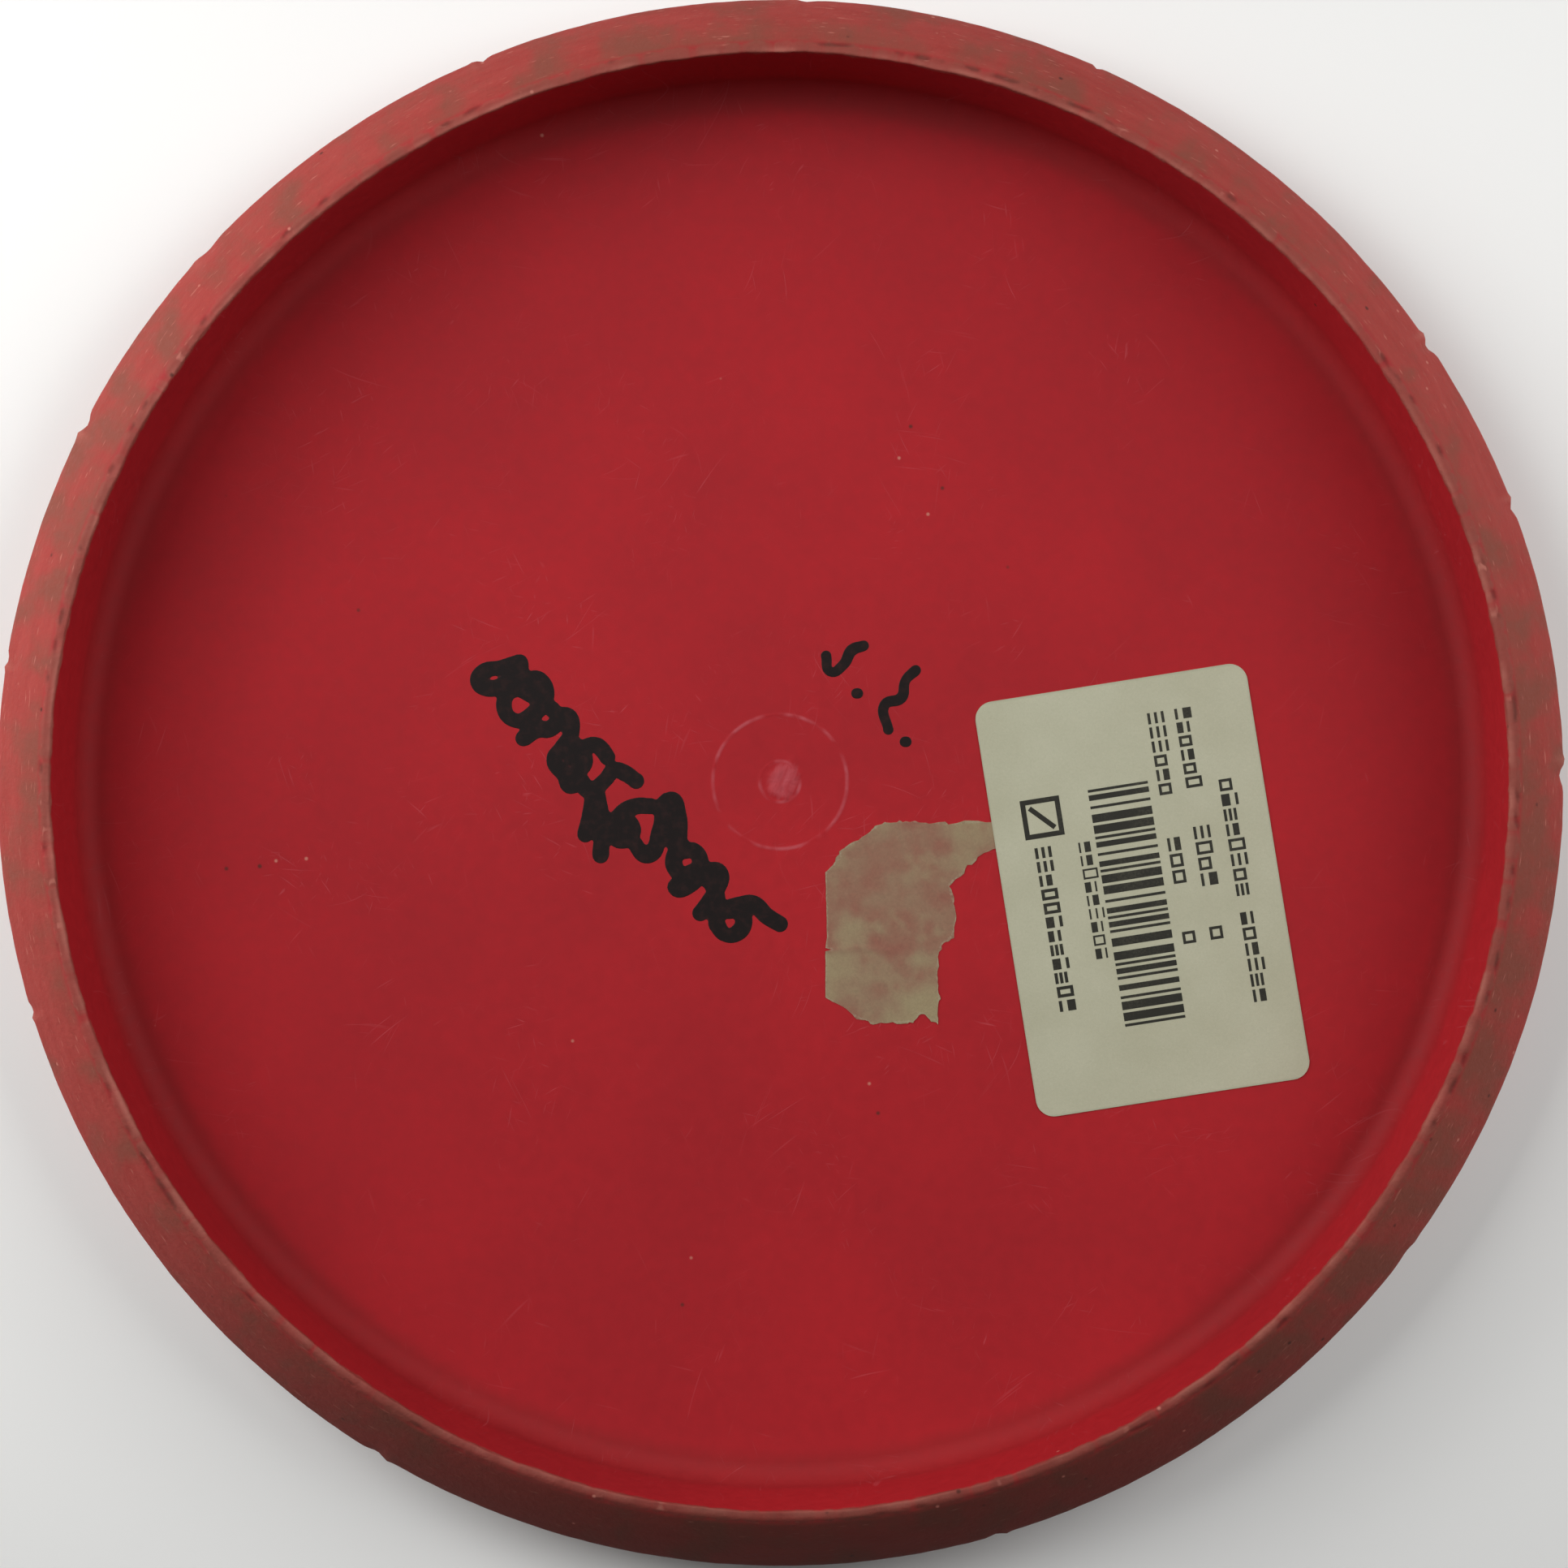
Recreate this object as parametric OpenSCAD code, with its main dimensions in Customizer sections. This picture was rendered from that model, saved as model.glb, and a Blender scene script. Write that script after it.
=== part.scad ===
// Flying disc for the disc-golf course, a putter, lying on its flight plate
// with the hollow up. +Z is the disc's axis and comes out of the hollow.
// The origin is on the axis, in the plane of the flight plate's outer face.

/* [Moulded disc] */
// Outer diameter of the disc
disc_d = 212; // [206:1:220]
// Height over all, from the flight plate's face to the top of the lip
disc_h = 20; // [19.5:0.25:20.5]
// Width of the rim, from the nose to the mouth
rim_w = 9.5; // [9.3:0.1:10]
// Thickness of the flight plate
plate_t = 2.6; // [2:0.1:3]
// Diameter of the flat middle of the flight plate
flat_d = 100; // [96:1:110]
// Radius of the gentle dome from the flat to the shoulder
dome_r = 480; // [440:10:600]
// Radius of the rounded shoulder
shoulder_r = 10.5; // [10:0.5:11]
// Radius of the nose, the widest part of the rim
nose_r = 2.5; // [2:0.25:3]
// Radius of the slightly full flank between nose and lip
flank_r = 42; // [40:1:43]
// Radius of the fillet between plate and inner wall
fillet_r = 3; // [2:0.25:4]
// How much the inner wall leans out towards the mouth
wall_draft = 0.25; // [0.1:0.05:0.4]
// Width of the lip round the mouth, before its edges are rounded
lip_w = 1; // [0.9:0.05:1.1]
// Rounding where the flank turns over into the lip
lip_edge_r = 1; // [0.6:0.1:1.2]
// Rounding of the lip's inner edge
lip_round = 0.3; // [0.1:0.05:0.35]

/* [Gate marks] */
// Diameter of the outer witness ring left by the mould's core
gate_ring_d = 18.6; // [14:0.2:24]
// Diameter of the inner witness ring
gate_core_d = 5.6; // [4:0.2:8]
// Radius of the witness rings' round section
witness_r = 0.2; // [0.1:0.05:0.3]
// Height of the torn gate in the middle
gate_h = 0.4; // [0.2:0.1:0.8]

/* [Price label] */
// Length of the price label
label_l = 58; // [50:1:60]
// Width of the price label
label_w = 38; // [30:1:40]
// Radius of the price label's corners
label_corner_r = 2.5; // [1:0.25:4]
// Thickness of the label's paper
paper_t = 0.1; // [0.08:0.01:0.2]
// Centre of the price label
label_at = [50, -15];
// Direction in which the label's print runs, in degrees from +X
label_turn = -81; // [-90:1:-70]
// Thickness of printed and marker ink
ink_t = 0.05; // [0.04:0.01:0.08]

/* [Marker] */
// Width of the thick marker's stroke
thick_stroke_w = 2.3; // [1.5:0.1:2.5]
// Width of the thin marker's stroke
thin_stroke_w = 1.4; // [1:0.1:1.8]

/* [Hidden] */
$fn = 180;

disc_r = disc_d / 2;
mouth_r = disc_r - rim_w;
flat_r = flat_d / 2;
wall_r = mouth_r - wall_draft;
under_r = dome_r - plate_t;

// Headings along the section, in degrees: 0 runs outwards and 90 runs up.
shoulder_end = 75;
nose_end = 128;
flank_end = 142;
dome_end = asin((disc_r - flat_r - shoulder_r * sin(shoulder_end) - nose_r * (1 - sin(shoulder_end)))
                / (dome_r - shoulder_r));
under_end = asin((wall_r - flat_r - fillet_r) / (under_r - fillet_r));

// Points of an arc that leaves p tangent to heading a0 and turns to heading a1.
// A positive radius turns left, and a negative one turns right.
function arc(p, r, a0, a1, n) =
    [for (i = [1:n]) let (a = a0 + (a1 - a0) * i / n) p + r * [sin(a) - sin(a0), cos(a0) - cos(a)]];
function last(list) = list[len(list) - 1];
function reversed(list) = [for (i = [len(list) - 1:-1:0]) list[i]];
function raised(list, z) = [for (p = list) p + [0, z]];

// Outer face, from the edge of the flat to the top of the flank
dome = arc([flat_r, 0], dome_r, 0, dome_end, 8);
shoulder = arc(last(dome), shoulder_r, dome_end, shoulder_end, 8);
nose = arc(last(shoulder), nose_r, shoulder_end, nose_end, 5);
flank = arc(last(nose), flank_r, nose_end, flank_end, 5);

// Lip: the line from the flank to its corner, and the rounding over that corner
lip_corner = [mouth_r + lip_w, disc_h];
to_lip = lip_corner - last(flank);
lip_heading = atan2(to_lip.y, to_lip.x);
lip_start = lip_corner - lip_edge_r * tan((180 - lip_heading) / 2) * to_lip / norm(to_lip);
lip_outer = concat([lip_start], arc(lip_start, lip_edge_r, lip_heading, 180, 4));

// Inner face, from the axis to the end of the gentle dome
underside = concat([[0, plate_t], [flat_r, plate_t]], arc([flat_r, plate_t], under_r, 0, under_end, 8));
// Fillet, inner wall and the rounded inner edge of the lip
wall = arc(last(underside), fillet_r, under_end, 90, 6);
lip_inner = arc([mouth_r, disc_h - lip_round], -lip_round, 90, 0, 4);

section = concat(
    [[0, 0], [flat_r, 0]], dome, shoulder, nose, flank, lip_outer,
    reversed(lip_inner), [[mouth_r, disc_h - lip_round]],
    reversed(wall), reversed(underside)
);

// One injection moulding: flight plate, rim and gate marks
module disc() {
    color([0.6, 0.12, 0.14]) {
        rotate_extrude() polygon(section);
        witness_ring(gate_ring_d);
        witness_ring(gate_core_d);
        translate([0, 0, plate_t]) cylinder(h = gate_h, r1 = gate_core_d * 0.4, r2 = gate_core_d * 0.2);
    }
}

// Round bead, half sunk in the plate's inner face
module witness_ring(d) {
    rotate_extrude() translate([d / 2, plate_t]) circle(r = witness_r, $fn = 16);
}

// A film that lies on the plate's inner face and follows its dome. Its outline
// is the 2D child, and it fills the heights from low to high above the face.
module film(low, high) {
    intersection() {
        linear_extrude(disc_h) children();
        rotate_extrude() polygon(concat(raised(underside, low), reversed(raised(underside, high))));
    }
}

// The same within the flat middle, where no dome has to be followed
module flat_film(t) {
    translate([0, 0, plate_t]) linear_extrude(t) children();
}

// Puts a 2D child, drawn along the label's own length, in the label's place.
module on_label() {
    translate(label_at) rotate(label_turn) children();
}

module label_outline() {
    on_label() {
        square([label_l - 2 * label_corner_r, label_w], center = true);
        square([label_l, label_w - 2 * label_corner_r], center = true);
        for (x = [-1, 1], y = [-1, 1])
            translate([x * (label_l / 2 - label_corner_r), y * (label_w / 2 - label_corner_r)])
                circle(r = label_corner_r, $fn = 32);
    }
}

// Self-adhesive paper label with rounded corners
module price_label() {
    color([0.66, 0.66, 0.56]) film(0, paper_t) label_outline();
}

// Bars and gaps are one to four and one or two units wide. Their order comes
// from a remainder and codes nothing.
bar_count = 27;
bar_unit = 0.385;
bar_h = 8.4;
bars_from = -14.8;
bars_level = -1;
bar_widths = [for (i = [0:bar_count - 1]) bar_unit * (1 + (i * i % 7) % 4)];
bar_gaps = [for (i = [0:bar_count - 1]) bar_unit * (1 + (3 * i % 5) % 2)];
function total(list, n) = n == 0 ? 0 : list[n - 1] + total(list, n - 1);
module bar_row() {
    for (i = [0:bar_count - 1])
        translate([bars_from + total(bar_widths, i) + total(bar_gaps, i), bars_level - bar_h / 2])
            square([bar_widths[i], bar_h]);
}

// A line of unreadable print: one block for each word
module print_line(start, words, gap, h) {
    for (i = [0:len(words) - 1])
        translate([start + (i == 0 ? 0 : words[0] + gap), 0])
            translate([0, -h / 2]) square([words[i], h]);
}

module label_print() {
    color([0.16, 0.16, 0.12]) film(paper_t, paper_t + ink_t) on_label() {
        translate([0, 14]) print_line(-13.5, [16.5, 14.5], 2, 2);
        translate([0, 9.5]) print_line(-24, [10.5, 8], 6, 2);
        translate([0, 5.7]) print_line(-24, [11, 6.5], 6, 2);
        bar_row();
        translate([0, -6.6]) print_line(-7.8, [7.8, 7.8], 0.6, 1.8);
        translate([0, -12.6]) print_line(-8, [11, 11], 1, 2);
        translate([-12, -12]) badge(5.5);
    }
}

// Plain badge: a square frame with a bar across
badge_line = 0.7;
module badge(size) {
    difference() {
        square(size, center = true);
        square(size - 2 * badge_line, center = true);
    }
    rotate(45) square([size, badge_line], center = true);
}

// What is left of an older label that was torn off. It ends at the price label.
remnant_outline = [
    [6.3, -30], [6.3, -12.5], [8.5, -9.5], [12.2, -7], [14.3, -5.5], [22, -5.8], [32, -5.2],
    [32, -8.2], [27, -11], [23.4, -14.3], [24.5, -18.4], [22.3, -22.6], [21.8, -28], [22, -33.5],
    [19, -32.2], [18.6, -33.3], [13, -33.6], [9.9, -32.2]
];
module old_label_remnant() {
    color([0.54, 0.45, 0.35]) flat_film(paper_t) difference() {
        polygon(remnant_outline);
        label_outline();
    }
}

// A marker's stroke of width w through points, with round ends and bends
module stroke(points, w) {
    for (i = [0:len(points) - 2]) {
        run = points[i + 1] - points[i];
        translate(points[i]) rotate(atan2(run.y, run.x)) translate([0, -w / 2]) square([norm(run), w]);
    }
    for (p = points) translate(p) circle(r = w / 2, $fn = 12);
}

// Strokes of an overlapping scribble that runs down to the right
scribble = [
    // The first oval and the loops below it
    [[-36, 16.5], [-38.7, 15.8], [-41.2, 15.1], [-41.8, 13.8], [-40.3, 12.9], [-37.7, 13.8], [-35.9, 15.8]],
    [[-36, 16.5], [-35.5, 14.3], [-33.3, 14], [-32.4, 11.7], [-34, 9.5], [-36.8, 8.5], [-38.2, 10.8],
     [-36.8, 12.6], [-34.6, 12], [-31.5, 10]],
    [[-35.5, 6], [-33.6, 7.2], [-31.8, 7.3], [-29.6, 9.2], [-28.9, 6.7], [-30.2, 4.6], [-31.3, 3],
     [-29.8, 0.9], [-28.9, -0.7], [-28, 1.2], [-27, 2.9], [-28.2, 5]],
    // Flicks to the right and two legs
    [[-28.8, 3.4], [-27.3, 4.6], [-25.5, 5.1], [-24.6, 4.4], [-23.9, 3.4]],
    [[-27.6, 0.2], [-26.4, -1.2], [-24.2, 0.2], [-22.9, 1.6], [-21.5, 1.2], [-19.9, 0.1]],
    [[-25.8, -1], [-26.1, -4.4], [-26.9, -7.3]],
    [[-25.2, -2], [-24.6, -5.2], [-24.8, -10.2]],
    // The blot with its flick, and the peak
    [[-25, -6.2], [-22.6, -5.4], [-20.8, -5.8], [-20.5, -7.4], [-22.2, -8], [-23.2, -6.8], [-21.2, -6.6]],
    [[-22.8, -5.2], [-21.4, -4], [-19.8, -3.4], [-17.9, -3.4]],
    [[-20.4, -8.2], [-18.2, -10.2], [-16.6, -6.6], [-15.1, -2.4], [-14, -4.6], [-13.8, -8.4]],
    [[-17.4, -9.4], [-15.8, -6.4], [-15, -4.6], [-15.2, -7.6], [-14.4, -8.8]],
    // Loops down to the last one, and the tail
    [[-13.9, -8.4], [-14.7, -11.2], [-13.8, -13.6], [-14.6, -14.8], [-12.2, -14.2], [-11, -11.8],
     [-11.8, -9.6], [-13.2, -9.6]],
    [[-12.4, -12.6], [-10.2, -12.4], [-8.4, -12.6], [-8.8, -15], [-10, -16.9], [-11, -18.2]],
    [[-9.6, -14], [-8.6, -16.4], [-9.6, -17.6], [-8, -17.9], [-5.4, -18.2], [-5, -19.4], [-5.7, -20.8],
     [-7.5, -21.2], [-8.8, -19.6]],
    [[-8.4, -17.8], [-5.5, -17], [-3.7, -16.9], [-1.8, -18.6], [0, -19.7]]
];
module marker_scribble() {
    color([0.13, 0.09, 0.08]) flat_film(ink_t) for (line = scribble) stroke(line, thick_stroke_w);
}

// Two small generic marks, each followed by a dot
module marker_squiggle() {
    color([0.16, 0.1, 0.09]) flat_film(ink_t) {
        stroke([[6.4, 17.4], [7, 15.2], [8.8, 16.2], [10, 18.2], [11.6, 18.8]], thin_stroke_w);
        translate([10.7, 12.2]) circle(r = thin_stroke_w / 2, $fn = 24);
        stroke([[15, 7.2], [14.5, 10.6], [16.8, 11.6], [17.4, 14], [18.8, 15.4]], thin_stroke_w);
        translate([17.4, 5.5]) circle(r = thin_stroke_w / 2, $fn = 24);
    }
}

disc();
price_label();
label_print();
old_label_remnant();
marker_scribble();
marker_squiggle();
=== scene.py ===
# %% [markdown]
# # A used golf disc, hollow side up
#
# This lesson builds a moulded plastic flying disc with its labels and marker ink. The CAD model is
# loaded first and stays the ruler: every piece made here lies where the CAD solids say.
# Lengths are written in millimetres and turned to Blender's metres by one constant.

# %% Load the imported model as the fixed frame
import math
import random

import bmesh
import bpy
from mathutils import Matrix, Vector, noise


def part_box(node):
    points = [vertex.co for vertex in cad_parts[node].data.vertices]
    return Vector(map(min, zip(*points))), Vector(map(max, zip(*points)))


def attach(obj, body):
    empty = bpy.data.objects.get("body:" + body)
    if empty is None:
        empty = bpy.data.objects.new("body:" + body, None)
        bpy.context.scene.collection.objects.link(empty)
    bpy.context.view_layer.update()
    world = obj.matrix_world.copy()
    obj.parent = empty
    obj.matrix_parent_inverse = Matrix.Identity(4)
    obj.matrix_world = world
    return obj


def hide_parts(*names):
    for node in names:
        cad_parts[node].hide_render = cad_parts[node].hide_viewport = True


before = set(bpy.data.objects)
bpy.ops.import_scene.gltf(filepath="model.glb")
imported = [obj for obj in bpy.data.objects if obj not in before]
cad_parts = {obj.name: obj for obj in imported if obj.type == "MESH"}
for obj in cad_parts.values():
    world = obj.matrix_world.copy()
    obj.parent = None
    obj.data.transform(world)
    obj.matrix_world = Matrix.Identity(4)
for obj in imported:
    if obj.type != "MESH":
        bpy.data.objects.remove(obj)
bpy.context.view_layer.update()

MM = 0.001

# %% [markdown]
# ## Sizes
#
# The disc's outside comes from the CAD box. What a box can't say, such as the radii of the moulded
# section, is the same set of driving dimensions as in the CAD source.

# %% Driving dimensions of the moulding
disc_low, disc_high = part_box("disc")
DISC_R = round((disc_high.x - disc_low.x) / 2 / MM, 1)
DISC_H = round((disc_high.z - disc_low.z) / MM, 1)
RIM_W = 9.5
MOUTH_R = DISC_R - RIM_W
WALL_R = MOUTH_R - 0.25
PLATE_T = 2.6
FLAT_R = 50
DOME_R = 480
SHOULDER_R = 10.5
NOSE_R = 2.5
FLANK_R = 42
FILLET_R = 3
LIP_W = 1.0
LIP_ROUND = 0.3
LIP_EDGE_R = 1.0
UNDER_R = DOME_R - PLATE_T
print("disc radius", DISC_R, "height", DISC_H)

# %% [markdown]
# ## The turned section
#
# A golf disc is a body of revolution, so its shape is one half-section: a chain of arcs, each
# leaving the last one at the same heading. Heading 0 runs outwards and 90 runs up. Drawing it
# as a chain keeps every joint smooth, as a mould maker's drawing does.


# %% Chain of tangent arcs
def turn(start, radius, heading, new_heading, steps):
    """Points of an arc that leaves start along heading and ends along new_heading."""
    points = []
    for i in range(1, steps + 1):
        a = math.radians(heading + (new_heading - heading) * i / steps)
        a0 = math.radians(heading)
        points.append((
            start[0] + radius * (math.sin(a) - math.sin(a0)),
            start[1] + radius * (math.cos(a0) - math.cos(a)),
        ))
    return points


def straight(start, end, steps):
    """Evenly spaced points from start to end, without start."""
    return [
        (start[0] + (end[0] - start[0]) * i / steps, start[1] + (end[1] - start[1]) * i / steps)
        for i in range(1, steps + 1)
    ]


# %% Headings where the arcs meet
SHOULDER_END = 75
NOSE_END = 128
FLANK_END = 142
nose_share = 1 - math.sin(math.radians(SHOULDER_END))
dome_reach = DISC_R - FLAT_R - SHOULDER_R * math.sin(math.radians(SHOULDER_END)) - NOSE_R * nose_share
DOME_END = math.degrees(math.asin(dome_reach / (DOME_R - SHOULDER_R)))
UNDER_END = math.degrees(math.asin((WALL_R - FLAT_R - FILLET_R) / (UNDER_R - FILLET_R)))
print("dome ends at heading", round(DOME_END, 2), "and the underside at", round(UNDER_END, 2))

# %% Half-section from the axis out, up over the lip and back to the axis
outer = [(0, 0), (FLAT_R / 2, 0), (FLAT_R, 0)]
outer += turn(outer[-1], DOME_R, 0, DOME_END, 6)
outer += turn(outer[-1], SHOULDER_R, DOME_END, SHOULDER_END, 12)
outer += turn(outer[-1], NOSE_R, SHOULDER_END, NOSE_END, 7)
outer += turn(outer[-1], FLANK_R, NOSE_END, FLANK_END, 14)

corner = (MOUTH_R + LIP_W, DISC_H)
lip_heading = math.degrees(math.atan2(corner[1] - outer[-1][1], corner[0] - outer[-1][0]))
before = LIP_EDGE_R * math.tan(math.radians(180 - lip_heading) / 2)
lip_start = (
    corner[0] - before * math.cos(math.radians(lip_heading)),
    corner[1] - before * math.sin(math.radians(lip_heading)),
)
lip = straight(outer[-1], lip_start, 2)
lip += turn(lip_start, LIP_EDGE_R, lip_heading, 180, 5)
lip += [(MOUTH_R + LIP_ROUND, DISC_H)]
lip += turn((MOUTH_R + LIP_ROUND, DISC_H), LIP_ROUND, 180, 270, 4)

under_arc = turn((FLAT_R, PLATE_T), UNDER_R, 0, UNDER_END, 8)
fillet = turn(under_arc[-1], FILLET_R, UNDER_END, 90, 7)
wall = straight(lip[-1], fillet[-1], 6)

gate_rings = [9.9, 9.6, 9.45, 9.3, 9.15, 9.0, 8.7, 5.5, 3.5, 3.1, 2.95]
gate_rings += [2.8, 2.65, 2.5, 2.2, 1.9, 1.6, 1.3, 1.0, 0.7, 0.4, 0]
inner = wall + fillet[-2::-1] + under_arc[::-1] + [(FLAT_R, PLATE_T), (30, PLATE_T)]
inner += [(r, PLATE_T) for r in gate_rings]
section = outer + lip + inner
print("section points:", len(section))

# %% [markdown]
# ## Wear that has depth
#
# A disc that has hit trees and gravel has a lip that waves, small nicks with a burr beside
# them and a broken row of pits where the flank turns over into the lip. These are moved in the
# mesh, because they break the outline and catch the light. Finer scratches come later, from
# the material's bump.


# %% Noise helpers
def wave(x, y, z, size):
    """Smooth noise from -1 to 1 whose lumps are about size mm across."""
    return noise.noise(Vector((x / size, y / size, z / size + 7.3)))


def hump(x, centre, width):
    """A smooth hump of height 1 at centre, about width to each side."""
    return math.exp(-(((x - centre) / width) ** 2))


# %% Nicks along the nose: direction in degrees, depth and width in mm
NICKS = [
    (152.7, 0.5, 2.2), (137.0, 0.25, 3.0), (112.4, 0.4, 1.4), (33.8, 0.55, 2.0), (20.4, 0.4, 1.6),
    (0.4, 0.5, 2.4), (-37.0, 0.12, 2.5), (-74.0, 0.25, 1.8), (-121.0, 0.3, 2.2), (-163.0, 0.35, 1.5),
    (66.0, 0.3, 1.2), (88.0, 0.2, 2.0), (171.0, 0.3, 1.3),
]
NICK_REACH = 1.8


def nicked(along_deg, r):
    """How far the nicks push the nose in, or their burrs push it out, in mm."""
    out = 0.0
    for direction, depth, width in NICKS:
        away = (along_deg - direction + 180) % 360 - 180
        along = math.radians(away) * DISC_R
        if abs(along) < 4 * width:
            out -= depth * hump(along, 0, width * 0.5)
            out += 0.6 * depth * hump(along, width * 0.8, width * 0.3)
    return out * hump(r, DISC_R, NICK_REACH)


# %% Wear of the rim
WORN_FROM = 94
FLANK_FROM = 98.2
TOP_BAND = 1.4
PITS_AT = MOUTH_R + 1.2
PIT_DEPTH = 0.2


def pitted(x, y, r):
    """Share from 0 to 1 of a pit's depth, in a broken row where the flank turns over."""
    row = hump(r, PITS_AT + 0.25 * wave(x, y, 5, 6.0), 0.4)
    return row * max(0.0, min(1.0, 4.0 * wave(x, y, 3, 2.4) + 1.5 * wave(x, y, 3, 9.0) - 0.7))


def worn(x, y, z):
    """Where wear has moved a point of the moulding, in mm."""
    r = math.hypot(x, y)
    if r < WORN_FROM:
        return gate_mark(x, y, z, r)
    out = 0.0
    up = 0.0
    if z > DISC_H - TOP_BAND:
        on_lip = hump(r, MOUTH_R + 0.5, 0.75)
        up += on_lip * (0.09 * wave(x, y, z, 3.0) + 0.05 * wave(x, y, z, 1.1) - 0.05)
        out += on_lip * (0.22 * wave(y, x, 0, 7.0) + 0.14 * wave(y, x, 0, 2.4))
        up -= PIT_DEPTH * pitted(x, y, r)
    if r > FLANK_FROM:
        share = min(1.0, (r - FLANK_FROM) / 2)
        out += share * (0.05 * wave(x, y, z, 6.0) + 0.04 * wave(x, y, z, 1.8))
        out += nicked(math.degrees(math.atan2(y, x)), r)
    return x * (r + out) / r, y * (r + out) / r, z + up


# %% The torn gate and its two witness rings
GATE_TILT = math.radians(70)
GATE_AT = (0.5, 0.1)
GATE_HALF = (2.9, 2.2)


def gate_mark(x, y, z, r):
    """Lifts the inner face round the gate; the outer face stays flat."""
    if z < PLATE_T / 2 or r > 12:
        return x, y, z
    ring_worn = 0.5 + 0.5 * wave(x, y, 9, 5)
    lift = ring_worn * (0.08 * hump(r, 9.3, 0.16) + 0.06 * hump(r, 2.8, 0.15))
    dx, dy = x - GATE_AT[0], y - GATE_AT[1]
    along = dx * math.cos(GATE_TILT) + dy * math.sin(GATE_TILT)
    across = dy * math.cos(GATE_TILT) - dx * math.sin(GATE_TILT)
    edge = 1 + 0.25 * wave(x, y, 0, 1.2)
    torn = max(0.0, 1 - (along / GATE_HALF[0] / edge) ** 2 - (across / GATE_HALF[1] / edge) ** 2)
    rough = 0.16 + 0.10 * wave(x, y, 1, 0.8) + 0.05 * wave(x, y, 2, 0.35)
    return x, y, z + lift + min(1.0, torn * 2.2) * rough


# %% [markdown]
# ## Making the moulding
#
# The section is laid in the XZ plane as a line of edges and spun round Z. A spin slows down
# with the square of its steps, so one sector is spun, and turned copies of it close the ring.
# The doubles along the joins and at both poles are merged, and then each point is moved by
# the wear function.

# %% Small mesh helpers
SECTORS = 10
STEPS_IN_SECTOR = 90
SHARP_ANGLE = math.radians(40)


def new_piece(name, bm):
    """Turns a bmesh, built in mm, into an object in metres, smooth but for its sharp edges."""
    bmesh.ops.transform(bm, matrix=Matrix.Scale(MM, 4), verts=bm.verts)
    for edge in bm.edges:
        edge.smooth = edge.calc_face_angle(0) < SHARP_ANGLE
    for face in bm.faces:
        face.smooth = True
    mesh = bpy.data.meshes.new(name)
    bm.to_mesh(mesh)
    bm.free()
    piece = bpy.data.objects.new(name, mesh)
    bpy.context.scene.collection.objects.link(piece)
    return piece


def describe(piece):
    """Prints a piece's triangles and size."""
    triangles = sum(len(face.vertices) - 2 for face in piece.data.polygons)
    print(f"{piece.name}: {triangles} triangles, {[round(v / MM, 2) for v in piece.dimensions]} mm")


# %% Spin one sector, copy it round and wear it; burrs and pits are marked above this height
BURRS_FROM = 6


def make_disc():
    """The worn moulding, with attributes that tell the material its burrs and pits."""
    bm = bmesh.new()
    points = [bm.verts.new((r, 0, z)) for r, z in section]
    edges = [bm.edges.new(pair) for pair in zip(points, points[1:])]
    sector = 2 * math.pi / SECTORS
    bmesh.ops.spin(
        bm, geom=points + edges, axis=(0, 0, 1), cent=(0, 0, 0), angle=sector, steps=STEPS_IN_SECTOR,
    )
    first = bm.verts[:] + bm.edges[:] + bm.faces[:]
    for i in range(1, SECTORS):
        copy = bmesh.ops.duplicate(bm, geom=first)["geom"]
        verts = [part for part in copy if isinstance(part, bmesh.types.BMVert)]
        bmesh.ops.rotate(bm, verts=verts, cent=(0, 0, 0), matrix=Matrix.Rotation(sector * i, 3, "Z"))
    bmesh.ops.remove_doubles(bm, verts=bm.verts, dist=0.001)
    bmesh.ops.recalc_face_normals(bm, faces=bm.faces)
    burr = bm.verts.layers.float.new("burr")
    pit = bm.verts.layers.float.new("pit")
    for vert in bm.verts:
        x, y, z = vert.co
        if z > BURRS_FROM:
            vert[burr] = max(0.0, nicked(math.degrees(math.atan2(y, x)), math.hypot(x, y)))
            vert[pit] = pitted(x, y, math.hypot(x, y))
        vert.co = worn(x, y, z)
    return new_piece("moulded_disc", bm)


disc = make_disc()
describe(disc)
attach(disc, "root")
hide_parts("disc")

# %% [markdown]
# ## Laying paper and ink on the plate
#
# Labels and ink lie on the inner face, which is flat in the middle and rises in a gentle dome
# outside it. A flat sheet is cut into small cells with the bisect operator, given its
# thickness by an extrusion and then laid on the dome point by point. The cells are small
# enough for the sheet to follow the curve and its own small waves.


# %% Height of the inner face
def plate_height(x, y):
    """Height in mm of the plate's inner face."""
    beyond = max(0.0, math.hypot(x, y) - FLAT_R)
    return PLATE_T + UNDER_R - math.sqrt(UNDER_R ** 2 - beyond ** 2)


print("inner face is at", [round(plate_height(r, 0), 2) for r in (0, 50, 70, 90)], "mm")


# %% Cutting a sheet into cells and giving it thickness
def cut_into_cells(bm, cell):
    """Cuts a flat sheet along a square grid with lines cell mm apart."""
    for axis in (0, 1):
        values = [vert.co[axis] for vert in bm.verts]
        normal = Vector((1 - axis, axis, 0))
        line = math.floor(min(values) / cell) * cell + cell
        while line < max(values) - 0.001:
            geom = bm.verts[:] + bm.edges[:] + bm.faces[:]
            bmesh.ops.bisect_plane(bm, geom=geom, dist=0.0001, plane_co=normal * line, plane_no=normal)
            line += cell


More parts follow.
